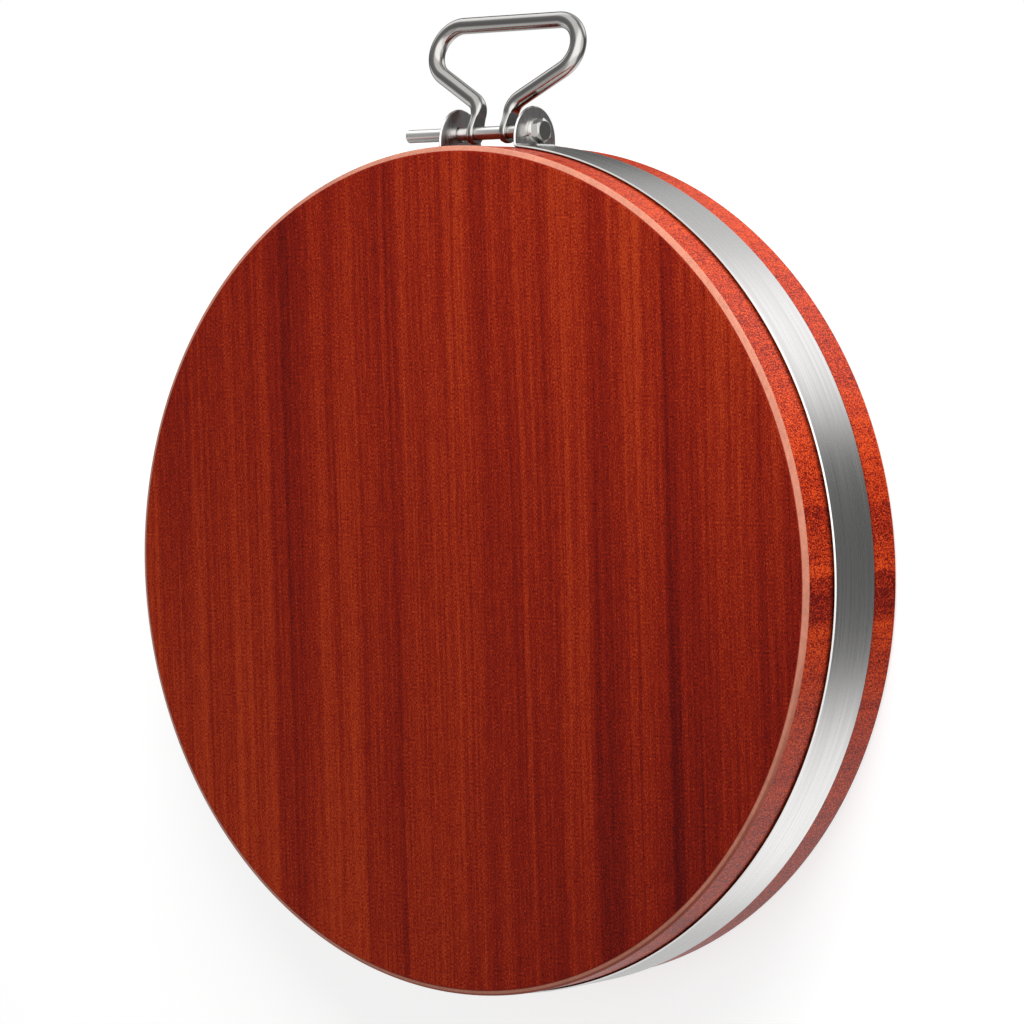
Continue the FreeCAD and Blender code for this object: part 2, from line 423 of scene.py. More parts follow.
# Slow waves in the grain, how far they carry it sideways, and its lean as a share of the length along it.
WANDER_LAYERS = (
    ((91, 167, 167), 1.0, 1.0),
)
GRAIN_WANDER = 1.5 * MM
GRAIN_LEAN = 0.015
# Sheen of the face: roughness of dark and of light fibres, strength and depth of their relief.
FACE_ROUGHNESS = (0.46, 0.36)
FACE_RELIEF = (0.25, 0.06 * MM)
FACE_SPECULAR = 0.07
WOOD_IOR = 1.47

# Torn fibres of the bevel, drawn coarser than real ones to show, and the shades that they give its colour.
BEVEL_LAYERS = (
    ((14, 14, 60), 0.50, 1.0),
    ((1.3, 3.0, 2.0), 0.60, 1.0),
)
BEVEL_SHADES = (0.70, 1.3)
BEVEL_ROUGHNESS = 0.42
BEVEL_RELIEF = (0.3, 0.1 * MM)
BEVEL_SPECULAR = 0.18
# How far the face's oil creeps onto the bevel.
OIL_CREEP = (0.3 * MM, 0.7 * MM)
# Painted shade on the bevel, on the side away from the handle and the lamps: side, reach, edge and level.
# It keeps to the bevel's outer half.
SHADED_SIDE = (0.45, -0.90, 0.0)
SIDE_SHADE_REACH = (90 * MM, 190 * MM)
SIDE_SHADE_EDGE = (1.6 * MM, 1.9 * MM)
SIDE_SHADE_LEVEL = 0.7

# Grain of the rim: lines that run through the slab, and open pores, drawn coarser than real ones to show.
RIM_LAYERS = (
    ((16, 16, 200), 0.40, 1.0),
    ((4, 4, 60), 0.35, 1.0),
    ((1.5, 1.1, 4.0), 0.50, 0.0),
    ((0.6, 0.6, 0.9), 2.10, 0.0),
)
# Growth bands that cross the rim: place along the grain in mm and tone.
RIM_BANDS = (
    (-95, 0.54), (-62, 0.54), (-56, 0.44), (-50, 0.56), (-30, 0.50), (-24, 0.54), (-21.5, 0.66),
    (-19, 0.36), (-16, 0.18), (-8, 0.12), (1.0, 0.16), (2.8, 0.58), (6.2, 0.60), (7.6, 0.36),
    (9.0, 0.46), (15, 0.42), (22, 0.29), (30.6, 0.24), (32.4, 0.60), (62, 0.62), (76, 0.58),
    (92, 0.46), (122, 0.44), (142, 0.60), (165, 0.60), (190, 0.50),
)
# Tone at which the rim has its main colour.
RIM_MIDDLE = 0.55
RIM_ROUGHNESS = 0.32
RIM_RELIEF = (0.3, 0.15 * MM)
RIM_SPECULAR = 0.08
LACQUER_IOR = 1.5
LACQUER_COAT = 0.04
LACQUER_ROUGHNESS = 0.16
# Painted shade on the rim beside the hoop, where the strip's edges shadow the wood: reach and darkest
# level.
HOOP_SHADE_REACH = (0.4 * MM, 3.2 * MM)
HOOP_SHADE_LEVEL = 0.35


def padauk_face(wood):
    """Padauk sawn along the grain, sanded and oiled: fine straight fibre streaks under a satin sheen."""
    material, tree = new_material("padauk_oiled_face")
    place = add_node(tree, "ShaderNodeTexCoord").outputs["Object"]
    axes = add_node(tree, "ShaderNodeSeparateXYZ", {0: place}).outputs
    lean = add_node(tree, "ShaderNodeMath", {0: axes[1], 1: GRAIN_LEAN, 2: axes[0]},
                    operation="MULTIPLY_ADD")
    wander = add_node(tree, "ShaderNodeMapRange",
                      {"Value": noise_tone(tree, place, WANDER_LAYERS), "To Min": -GRAIN_WANDER,
                       "To Max": GRAIN_WANDER})
    across = add_node(tree, "ShaderNodeMath", {0: lean.outputs[0], 1: wander.outputs[0]}).outputs[0]
    grain = add_node(tree, "ShaderNodeCombineXYZ", {0: across, 1: axes[1], 2: axes[2]}).outputs[0]
    # Painted light and shade: a slant of tone across the face, added to the bands.
    light_slant = add_node(tree, "ShaderNodeMath", {0: axes[0], 1: axes[1]}, operation="MULTIPLY")
    bands = add_node(tree, "ShaderNodeMath",
                     {0: light_slant.outputs[0], 1: FACE_LIGHT_SLANT / LIGHT_SLANT_REACH ** 2,
                      2: band_tone(tree, across, FACE_BANDS)}, operation="MULTIPLY_ADD")
    tone = noise_tone(tree, grain, FACE_LAYERS, bands.outputs[0])
    colour = add_node(tree, "ShaderNodeValToRGB", {"Fac": tone},
                      stops=((0.0, wood.dark), (0.5, wood.middle), (1.0, wood.light)))
    sheen = add_node(tree, "ShaderNodeMapRange",
                     {"Value": tone, "To Min": FACE_ROUGHNESS[0], "To Max": FACE_ROUGHNESS[1]})
    fibre = add_node(tree, "ShaderNodeBump",
                     {"Strength": FACE_RELIEF[0], "Distance": FACE_RELIEF[1], "Height": tone})
    surface = add_node(tree, "ShaderNodeBsdfPrincipled",
                       {"Base Color": colour.outputs[0], "Roughness": sheen.outputs[0],
                        "Normal": fibre.outputs[0], "IOR": WOOD_IOR, "Specular IOR Level": FACE_SPECULAR})
    add_node(tree, "ShaderNodeOutputMaterial", {"Surface": surface.outputs[0]})
    return material


def padauk_bevel(wood):
    """Padauk cut fresh by the edge bevel and left unoiled: pale, dry and slightly furry."""
    material, tree = new_material("padauk_sanded_bevel")
    place = add_node(tree, "ShaderNodeTexCoord").outputs["Object"]
    tone = noise_tone(tree, place, BEVEL_LAYERS)
    shades = [[min(shade * channel, 1) for channel in wood.bevel] for shade in BEVEL_SHADES]
    pale = add_node(tree, "ShaderNodeValToRGB", {"Fac": tone}, stops=list(zip(SHADE_TONES, shades)))
    flat = add_node(tree, "ShaderNodeVectorMath", {0: place, 1: (1, 1, 0)}, operation="MULTIPLY")
    length = add_node(tree, "ShaderNodeVectorMath", {0: flat.outputs[0]}, operation="LENGTH")
    radius = length.outputs["Value"]
    inner = wood.radius - wood.bevel_width
    oiled = add_node(tree, "ShaderNodeMapRange",
                     {"Value": radius, "From Min": inner + OIL_CREEP[0], "From Max": inner + OIL_CREEP[1],
                      "To Min": 1.0, "To Max": 0.0}, interpolation_type="SMOOTHSTEP")
    # Painted shade: the bevel's outer half darkens on the side away from the handle and the lamps.
    towards_shade = add_node(tree, "ShaderNodeVectorMath", {0: place, 1: SHADED_SIDE}, operation="DOT_PRODUCT")
    side_shade = add_node(tree, "ShaderNodeMapRange",
                     {"Value": towards_shade.outputs["Value"], "From Min": SIDE_SHADE_REACH[0],
                      "From Max": SIDE_SHADE_REACH[1], "To Max": SIDE_SHADE_LEVEL}, interpolation_type="SMOOTHSTEP")
    outer = add_node(tree, "ShaderNodeMapRange",
                     {"Value": radius, "From Min": inner + SIDE_SHADE_EDGE[0],
                      "From Max": inner + SIDE_SHADE_EDGE[1]}, interpolation_type="SMOOTHSTEP")
    bevel_shade = add_node(tree, "ShaderNodeMath", {0: side_shade.outputs[0], 1: outer.outputs[0]},
                     operation="MULTIPLY")
    # The bevel takes the face's colour where the oil creeps onto it, and where the painted shade falls.
    oil_and_shade = add_node(tree, "ShaderNodeMath", {0: oiled.outputs[0], 1: bevel_shade.outputs[0]},
                    operation="MAXIMUM")
    colour = add_node(tree, "ShaderNodeMix",
                      {0: oil_and_shade.outputs[0], 6: pale.outputs[0], 7: (*wood.middle, 1.0)}, data_type="RGBA")
    fibre = add_node(tree, "ShaderNodeBump",
                     {"Strength": BEVEL_RELIEF[0], "Distance": BEVEL_RELIEF[1], "Height": tone})
    surface = add_node(tree, "ShaderNodeBsdfPrincipled",
                       {"Base Color": colour.outputs[2], "Normal": fibre.outputs[0],
                        "Roughness": BEVEL_ROUGHNESS, "IOR": WOOD_IOR,
                        "Specular IOR Level": BEVEL_SPECULAR})
    add_node(tree, "ShaderNodeOutputMaterial", {"Surface": surface.outputs[0]})
    return material


def padauk_rim(wood):
    """Padauk turned on the rim and lacquered: bands through the slab, open pores and a clear gloss."""
    material, tree = new_material("padauk_lacquered_rim")
    place = add_node(tree, "ShaderNodeTexCoord").outputs["Object"]
    axes = add_node(tree, "ShaderNodeSeparateXYZ", {0: place}).outputs
    tone = noise_tone(tree, place, RIM_LAYERS, band_tone(tree, axes[1], RIM_BANDS))
    colour = add_node(tree, "ShaderNodeValToRGB", {"Fac": tone},
                      stops=((0.0, wood.rim_band), (RIM_MIDDLE, wood.rim), (1.0, wood.rim_light)))
    # Painted shade: the rim darkens within a few millimetres of the hoop's edges.
    middle = (HOOP_LOW.z + HOOP_HIGH.z) / 2
    half = (HOOP_HIGH.z - HOOP_LOW.z) / 2
    height = add_node(tree, "ShaderNodeMath", {0: axes[2], 1: middle}, operation="SUBTRACT")
    away = add_node(tree, "ShaderNodeMath", {0: height.outputs[0]}, operation="ABSOLUTE")
    shade_factor = add_node(tree, "ShaderNodeMapRange",
                     {"Value": away.outputs[0], "From Min": half + HOOP_SHADE_REACH[0],
                      "From Max": half + HOOP_SHADE_REACH[1], "To Min": HOOP_SHADE_LEVEL, "To Max": 1.0},
                     interpolation_type="SMOOTHSTEP")
    shaded_colour = add_node(tree, "ShaderNodeVectorMath", {0: colour.outputs[0], "Scale": shade_factor.outputs[0]},
                       operation="SCALE")
    pores = add_node(tree, "ShaderNodeBump",
                     {"Strength": RIM_RELIEF[0], "Distance": RIM_RELIEF[1], "Height": tone})
    surface = add_node(tree, "ShaderNodeBsdfPrincipled",
                       {"Base Color": shaded_colour.outputs[0], "Normal": pores.outputs[0],
                        "Roughness": RIM_ROUGHNESS, "IOR": LACQUER_IOR, "Specular IOR Level": RIM_SPECULAR,
                        "Coat Weight": LACQUER_COAT, "Coat Roughness": LACQUER_ROUGHNESS})
    add_node(tree, "ShaderNodeOutputMaterial", {"Surface": surface.outputs[0]})
    return material


# Least angle of a slab edge that is sanded round, and how upright the normal of a face or rim facet is.
SLAB_EDGE_ANGLE = math.radians(15)
FACE_UPRIGHT = 0.95
RIM_UPRIGHT = 0.2


class CHOPPINGBLOCK_OT_wood_block(Operator):
    """Turn the hardwood slab with its bevelled edges"""

    bl_idname = "chopping_block.wood_block"
    bl_label = "Wood Block"

    def execute(self, context):
        wood = context.scene.chopping_block.wood
        low, high = BLOCK_LOW.z, BLOCK_HIGH.z
        face_radius = wood.radius - wood.bevel_width
        outline = [(0, 0, low), (face_radius, 0, low), (wood.radius, 0, low + wood.bevel_depth),
                   (wood.radius, 0, high - wood.bevel_depth), (face_radius, 0, high), (0, 0, high)]
        bm = bmesh.new()
        lathe(bm, outline, (0, 0, 1), ROUND_STEPS)
        close_mesh(bm)
        corners = [edge for edge in bm.edges if edge.calc_face_angle(0.0) > SLAB_EDGE_ANGLE]
        bmesh.ops.bevel(bm, geom=corners, offset=wood.edge_round, offset_type="OFFSET", affect="EDGES",
                        segments=ROUND_SEGMENTS, profile=ROUND_PROFILE, material=-1)
        bm.normal_update()
        # Materials 0, 1 and 2 are those of the face, the bevel and the rim.
        for face in bm.faces:
            upright = abs(face.normal.z)
            face.material_index = 0 if upright > FACE_UPRIGHT else 2 if upright < RIM_UPRIGHT else 1
        piece = new_object("wood_slab", bm, (padauk_face(wood), padauk_bevel(wood), padauk_rim(wood)))
        finish_piece(piece, "block", "wood_block")
        return {"FINISHED"}


# Steel

# Brush marks of the strip: long round the hoop and narrow across it, yet wider than real ones, to show.
BRUSH_LAYERS = (
    ((70, 70, 0.45), 0.70, 1.0),
    ((160, 160, 2.0), 0.50, 1.0),
)
# Handling marks on wire and bolt: soft smudges, and short hairlines that are wider than real ones, to show.
POLISH_LAYERS = (
    ((9, 9, 9), 0.50, 2.0),
    ((0.5, 4.0, 4.0), 0.40, 1.0),
)
# Darkest shade and depth of the marks, and the tones between which they change the gloss.
MARK_SHADE = 0.88
MARK_DEPTH = 0.03 * MM
GLOSS_TONES = (0.2, 0.8)


def steel(name, colour, layers, roughest, smoothest, relief, anisotropy=0.0, axis="Z", turn=0.0):
    """Steel whose marks change its gloss and, slightly, its colour.

    An anisotropic finish draws reflections out round the axis, or along it with a turn of 0.25.
    """
    material, tree = new_material(name)
    place = add_node(tree, "ShaderNodeTexCoord").outputs["Object"]
    tone = noise_tone(tree, place, layers)
    shades = ([MARK_SHADE * channel for channel in colour], colour)
    tint = add_node(tree, "ShaderNodeValToRGB", {"Fac": tone}, stops=list(zip(SHADE_TONES, shades)))
    gloss = add_node(tree, "ShaderNodeMapRange",
                     {"Value": tone, "From Min": GLOSS_TONES[0], "From Max": GLOSS_TONES[1],
                      "To Min": roughest, "To Max": smoothest})
    marks = add_node(tree, "ShaderNodeBump", {"Strength": relief, "Distance": MARK_DEPTH, "Height": tone})
    along = add_node(tree, "ShaderNodeTangent", direction_type="RADIAL", axis=axis)
    surface = add_node(tree, "ShaderNodeBsdfPrincipled",
                       {"Base Color": tint.outputs[0], "Metallic": 1.0, "Roughness": gloss.outputs[0],
                        "Normal": marks.outputs[0], "Anisotropic": anisotropy,
                        "Anisotropic Rotation": turn, "Tangent": along.outputs[0]})
    add_node(tree, "ShaderNodeOutputMaterial", {"Surface": surface.outputs[0]})
    return material


# Steps along a fold of the strip, the straight part of an ear and its round end.
FOLD_STEPS = 12
EAR_STEPS = 2
CROWN_STEPS = 32
# Least angle of an edge that is broken on the strip and rounded on a fastener.
STRIP_EDGE_ANGLE = math.radians(40)
FASTENER_EDGE_ANGLE = math.radians(25)


class CHOPPINGBLOCK_OT_steel_hoop(Operator):
    """Bend the steel strip round the slab and fold its ends into ears"""

    bl_idname = "chopping_block.steel_hoop"
    bl_label = "Steel Hoop"

    def execute(self, context):
        settings = context.scene.chopping_block
        hoop = settings.hoop
        low, high = HOOP_LOW.z, HOOP_HIGH.z
        inner = settings.wood.radius + hoop.clearance
        ear_x = hoop.ear_spacing / 2
        fold_radius = hoop.bend_radius + hoop.thickness
        fold_x = ear_x + fold_radius
        fold_y = math.sqrt((inner + fold_radius) ** 2 - fold_x ** 2)
        fold_turn = math.atan2(fold_y, fold_x)
        round_y = fold_y + hoop.ear_straight
        middle = (low + high) / 2

        bm = bmesh.new()
        start = [bm.verts.new((ear_x, fold_y, z)) for z in (low, high)]
        first = start + [bm.edges.new(start)]
        last = sweep(bm, first, FOLD_STEPS, (fold_x, fold_y, 0), fold_turn)
        last = sweep(bm, last, ROUND_STEPS, (0, 0, 0), 2 * (QUARTER_TURN - fold_turn) - FULL_TURN)
        last = sweep(bm, last, FOLD_STEPS, (-fold_x, fold_y, 0), fold_turn)
        for ear in (first, last):
            self.add_ear(bm, ear, hoop, round_y, middle)
        bmesh.ops.remove_doubles(bm, verts=bm.verts, dist=WELD)
        bmesh.ops.recalc_face_normals(bm, faces=bm.faces)
        # The normals of the open sheet have to point away from the slab.
        lowest = min(bm.faces, key=lambda face: face.calc_center_median().y)
        if lowest.normal.y > 0:
            bmesh.ops.reverse_faces(bm, faces=bm.faces)

        # Stainless steel brushed along the strip: fine lines, and soft reflections drawn out round it.
        finish = steel("stainless_brushed", hoop.colour, BRUSH_LAYERS, roughest=0.36, smoothest=0.22,
                       relief=0.01, anisotropy=0.5)
        piece = new_object("hoop_strip", bm, (finish,))
        # The bent sheet is the strip's inner face, so the whole thickness goes outwards.
        wall = piece.modifiers.new("Strip thickness", "SOLIDIFY")
        wall.thickness = hoop.thickness
        wall.offset = 1.0
        wall.use_even_offset = True
        dress_edges(piece, hoop.edge_chamfer, STRIP_EDGE_ANGLE, segments=1)
        finish_piece(piece, "block", "steel_hoop")
        return {"FINISHED"}

    def add_ear(self, bm, base, hoop, round_y, middle):
        """Adds the straight part, the round end and the bolt hole of one ear above its fold."""
        top = sweep(bm, base, EAR_STEPS, move=(0, hoop.ear_straight, 0))
        crown = max((v for v in top if isinstance(v, bmesh.types.BMVert)), key=lambda v: v.co.z)
        x = crown.co.x
        bmesh.ops.spin(bm, geom=[crown], cent=(x, round_y, middle), axis=(1, 0, 0), angle=-math.pi,
                       steps=CROWN_STEPS)
        hole = bmesh.ops.create_circle(bm, segments=BOLT_STEPS, radius=hoop.hole / 2,
                                       matrix=along_x((x, BOLT_AXIS.y, BOLT_AXIS.z)))
        bmesh.ops.remove_doubles(bm, verts=bm.verts, dist=WELD)
        border = {v for v in bm.verts if abs(v.co.x - x) < WELD and v.co.y > round_y - WELD}
        border.update(hole["verts"])
        rim = [edge for edge in bm.edges if len(edge.link_faces) < 2 and border.issuperset(edge.verts)]
        bmesh.ops.triangle_fill(bm, use_beauty=True, edges=rim)


def cut_hexagon(bm, fasteners, seat, face):
    """Turns the widest rings into a hexagon with its corners cut by a cone at the end face."""
    flat = fasteners.across_flats / 2
    face_radius = fasteners.face_diameter / 2
    slope = math.tan(fasteners.hex_chamfer)
    outward = math.copysign(1, face - seat)
    sixth = FULL_TURN / 6
    for vert in bm.verts:
        if math.hypot(vert.co.y, vert.co.z) < flat - WELD:
            continue
        turn = math.atan2(vert.co.z, vert.co.y)
        radius = flat / math.cos(turn % sixth - sixth / 2)
        if abs(vert.co.x - seat) > WELD:
            vert.co.x = face - outward * (radius - face_radius) * slope
        vert.co.y = radius * math.cos(turn)
        vert.co.z = radius * math.sin(turn)


class CHOPPINGBLOCK_OT_fasteners(Operator):
    """Make the clamp bolt, its nut and the two washers"""

    bl_idname = "chopping_block.fasteners"
    bl_label = "Bolt, Nut and Washers"

    def execute(self, context):
        fasteners = context.scene.chopping_block.fasteners
        # Zinc plating: a pale satin shine. The thread's turns are too fine to show, so the finish draws the
        # light out along the bolt, as they do.
        plated = steel("steel_zinc_plated", fasteners.colour, POLISH_LAYERS, roughest=0.34, smoothest=0.26,
                       relief=0.05, anisotropy=0.9, axis="X", turn=0.25)
        # Steel pressed bright in the heading die: a darker and sharper shine than the plating's.
        bright = steel("steel_cold_headed_bright", fasteners.head_colour, POLISH_LAYERS, roughest=0.24,
                       smoothest=0.14, relief=0.05)
        self.add_bolt(fasteners, (plated, bright))
        self.add_nut(fasteners, (plated,))
        for node in ("head_washer", "nut_washer"):
            self.add_washer(fasteners, (plated,), node)
        return {"FINISHED"}

    def add_bolt(self, fasteners, finishes):
        """The hexagon bolt with a chamfered free end."""
        shank = fasteners.diameter / 2
        tip, face = BOLT_LOW.x, BOLT_HIGH.x
        seat = face - fasteners.head_height
        wide = fasteners.across_flats / 2
        outline = [(tip, 0, 0), (tip, shank - fasteners.end_chamfer, 0),
                   (tip + fasteners.end_chamfer, shank, 0), (seat, shank, 0), (seat, wide, 0),
                   ((seat + face) / 2, wide, 0), (face, fasteners.face_diameter / 2, 0), (face, 0, 0)]
        bm = bmesh.new()
        lathe(bm, outline, (1, 0, 0), BOLT_STEPS)
        cut_hexagon(bm, fasteners, seat, face)
        for facet in bm.faces:
            facet.material_index = int(facet.calc_center_median().x > seat - WELD)
        self.place(bm, fasteners, finishes, "hex_bolt", "clamp_bolt")

    def add_nut(self, fasteners, finishes):
        """The hexagon nut outside the left ear."""
        low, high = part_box("clamp_nut")
        bore = fasteners.diameter / 2 + fasteners.nut_clearance
        wide = fasteners.across_flats / 2
        outline = [(high.x, bore, 0), (high.x, wide, 0), ((low.x + high.x) / 2, wide, 0),
                   (low.x, fasteners.face_diameter / 2, 0), (low.x, bore, 0)]
        bm = bmesh.new()
        lathe(bm, outline, (1, 0, 0), BOLT_STEPS, closed=True)
        cut_hexagon(bm, fasteners, high.x, low.x)
        self.place(bm, fasteners, finishes, "hex_nut", "clamp_nut")

    def add_washer(self, fasteners, finishes, node):
        """A flat washer in the place of its node."""
        low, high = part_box(node)
        hole = fasteners.washer_hole / 2
        wide = (high.z - low.z) / 2
        outline = [(low.x, hole, 0), (low.x, wide, 0), (high.x, wide, 0), (high.x, hole, 0)]
        bm = bmesh.new()
        lathe(bm, outline, (1, 0, 0), BOLT_STEPS, closed=True)
        self.place(bm, fasteners, finishes, "flat_" + node, node)

    def place(self, bm, fasteners, finishes, name, node):
        """Moves a turned piece onto the bolt's axis and finishes it."""
        bmesh.ops.translate(bm, verts=bm.verts, vec=(0, BOLT_AXIS.y, BOLT_AXIS.z))
        close_mesh(bm)
        piece = new_object(name, bm, finishes)
        dress_edges(piece, fasteners.edge_round, FASTENER_EDGE_ANGLE)
        finish_piece(piece, "block", node)


# Rounding between the wire and its pressed flats.
EYE_SOFT = 0.35 * MM
# Steps along the bar and an arm, round a corner and a neck, and along a pressed leg.
STRAIGHT_STEPS = 6
CORNER_STEPS = 36
NECK_STEPS = 24
LEG_STEPS = 40


def smooth_step(share):
    """A share from 0 to 1 with an even start and end."""
    share = max(0.0, min(1.0, share))
    return share * share * (3 - 2 * share)


def soft_least(value, limit, soft):
    """The smaller of two lengths, rounded where they cross."""
    blend = max(0.0, min(1.0, 0.5 + 0.5 * (limit - value) / soft))
    return limit * (1 - blend) + value * blend - soft * blend * (1 - blend)


class CHOPPINGBLOCK_OT_carry_handle(Operator):
    """Bend the wire handle and press its two drilled eyes"""

    bl_idname = "chopping_block.carry_handle"
    bl_label = "Carry Handle"

    def execute(self, context):
        handle = context.scene.chopping_block.handle
        eye = handle.eye_diameter / 2
        leg_x = handle.leg_spacing / 2
        bend = QUARTER_TURN - handle.arm_slope
        neck_x = leg_x + handle.neck_radius
        arm = Vector((math.cos(handle.arm_slope), math.sin(handle.arm_slope), 0))
        side = Vector((-arm.y, arm.x, 0))
        neck = Vector((neck_x, handle.leg_length, 0))
        arm_end = neck + side * handle.neck_radius + arm * handle.arm_length
        corner = arm_end + side * handle.corner_radius
        bar_y = corner.y + handle.corner_radius

        # One half is bent, from the middle of the bar to the end of a leg. The other is its mirror image.
        bm = bmesh.new()
        section = bmesh.ops.create_circle(
            bm, segments=WIRE_STEPS, radius=handle.wire / 2, matrix=along_x((0, bar_y, 0)))["verts"]
        ring = section + list({edge for vert in section for edge in vert.link_edges})
        ring = sweep(bm, ring, STRAIGHT_STEPS, move=(corner.x, 0, 0))
        ring = sweep(bm, ring, CORNER_STEPS, corner, -(QUARTER_TURN + bend))
        ring = sweep(bm, ring, STRAIGHT_STEPS, move=-arm * handle.arm_length)
        before = set(bm.verts)
        ring = sweep(bm, ring, NECK_STEPS, neck, bend)
        sweep(bm, ring, LEG_STEPS, move=(0, -handle.leg_length - eye, 0))
        self.press_leg(handle, set(bm.verts) - before, neck)
        bmesh.ops.mirror(bm, geom=bm.verts[:] + bm.edges[:] + bm.faces[:], axis="X", merge_dist=WELD)
        pivot = Vector((handle.shift, BOLT_AXIS.y, BOLT_AXIS.z))
        place = Matrix.Translation(pivot) @ Matrix.Rotation(-handle.lean, 4, "X")
        bmesh.ops.transform(bm, matrix=place, verts=bm.verts)
        close_mesh(bm)
        # Polished stainless wire: clear, dark reflections with faint smudges.
        finish = steel("stainless_polished_wire", handle.colour, POLISH_LAYERS, roughest=0.22,
                       smoothest=0.13, relief=0.05)
        piece = new_object("wire_handle", bm, (finish,))

        drill = bmesh.new()
        bmesh.ops.create_cone(
            drill, cap_ends=True, segments=BOLT_STEPS, radius1=handle.eye_hole / 2,
            radius2=handle.eye_hole / 2, depth=2 * handle.leg_spacing, matrix=along_x(pivot))
        cutter = new_object("eye_drill", drill)
        holes = piece.modifiers.new("Eye holes", "BOOLEAN")
        holes.operation = "DIFFERENCE"
        holes.solver = "EXACT"
        holes.object = cutter
        finish_piece(piece, "handle", "carry_handle")
        bpy.data.meshes.remove(cutter.data)
        return {"FINISHED"}

    def press_leg(self, handle, verts, neck):
        """Presses the flats of a leg, which run out along the neck, and rounds its end into an eye."""
        wire = handle.wire / 2
        half = handle.eye_thickness / 2
        eye = handle.eye_diameter / 2
        leg_x = neck.x - handle.neck_radius
        for vert in verts:
            # In the neck, the places up the wire and across it follow the bend.
            turn = max(0.0, math.atan2(vert.co.y - neck.y, neck.x - vert.co.x))
            if turn:
                across = handle.neck_radius - (vert.co - neck).xy.length
                up = neck.y + turn * handle.neck_radius
            else:
                across = vert.co.x - leg_x
                up = vert.co.y
            run_out = smooth_step((up - handle.flat_length) / handle.flat_run_out)
            limit = half + (wire + EYE_SOFT - half) * run_out
            across = math.copysign(soft_least(abs(across), limit, EYE_SOFT), across)
            wide = wire + (eye - wire) * (1 - smooth_step(up / handle.leg_length))
            # Below the bolt's axis the leg closes into the round end of the eye.
            if up < 0:
                up = -eye * math.sin(QUARTER_TURN * -up / eye)
                wide = math.sqrt(max(eye ** 2 - up ** 2, 0.0))
                inset = min(eye + up, handle.eye_edge)
                across *= math.sqrt(max(1 - (1 - inset / handle.eye_edge) ** 2, 0.0))
            z = vert.co.z * wide / wire
            if turn:
                reach = handle.neck_radius - across
                vert.co = (neck.x - reach * math.cos(turn), neck.y + reach * math.sin(turn), z)
            else:
                vert.co = (leg_x + across, up, z)


# Stage

# Size of the floor and place of its edge in metres. It ends under the handle, as a worktop does, so that
# the handle can hang over its edge.
FLOOR_SIZE = 6.0
FLOOR_EDGE = 0.195
# Share and strength of the floor's own glow, which keeps it white round the shadow.
FLOOR_SHARE = 0.5
FLOOR_GLOW = 1.45
# Even light on the object from all round.
WORLD_LEVEL = 0.37
WHITE = (1.0, 1.0, 1.0, 1.0)
# Studio as seen in the steel: direction, angles in degrees of full strength and of its end, and level.
PANELS = (
    ((0.70, 0.40, 0.55), 30, 58, 2.40),
    ((0.93, 0.25, -0.15), 10, 28, 1.40),
    ((0.50, -0.60, 0.50), 24, 44, 1.60),
    ((0.00, -0.40, 0.90), 12, 30, 0.75),
    ((-0.94, 0.34, 0.10), 12, 34, 0.25),
    ((-0.93, -0.24, 0.08), 10, 26, 1.30),
    ((-0.62, 0.16, 0.77), 8, 24, 0.24),
    ((-0.62, 0.77, -0.12), 5, 36, 1.95),
    ((-0.62, -0.60, 0.50), 14, 32, 0.90),
    ((-0.56, 0.20, -0.80), 26, 44, 0.05),
    ((0.02, 0.62, -0.79), 14, 34, 0.82),
    ((-0.30, -0.54, -0.79), 24, 50, 0.72),
    ((0.60, 0.03, -0.79), 10, 36, 0.15),
    ((0.27, 0.55, -0.79), 3, 21, 1.85),
    ((0.17, -0.59, -0.79), 3, 27, 1.65),
    ((-0.08, 0.90, 0.30), 20, 34, 1.30),
    ((-0.10, -0.97, 0.15), 22, 40, 1.30),
)
# Level of the studio between its panels.
PANEL_BASE = 0.32
# Soft lamps: name, place and size in metres, and power in watts.
LAMPS = (
    ("key_lamp", (0.28, 0.64, 0.64), 0.6, 7.9),
    ("side_lamp", (1.00, 0.87, 0.15), 0.6, 5.9),
)
# Width in millimetres of the camera's frame.
FRAME_WIDTH = 36.0


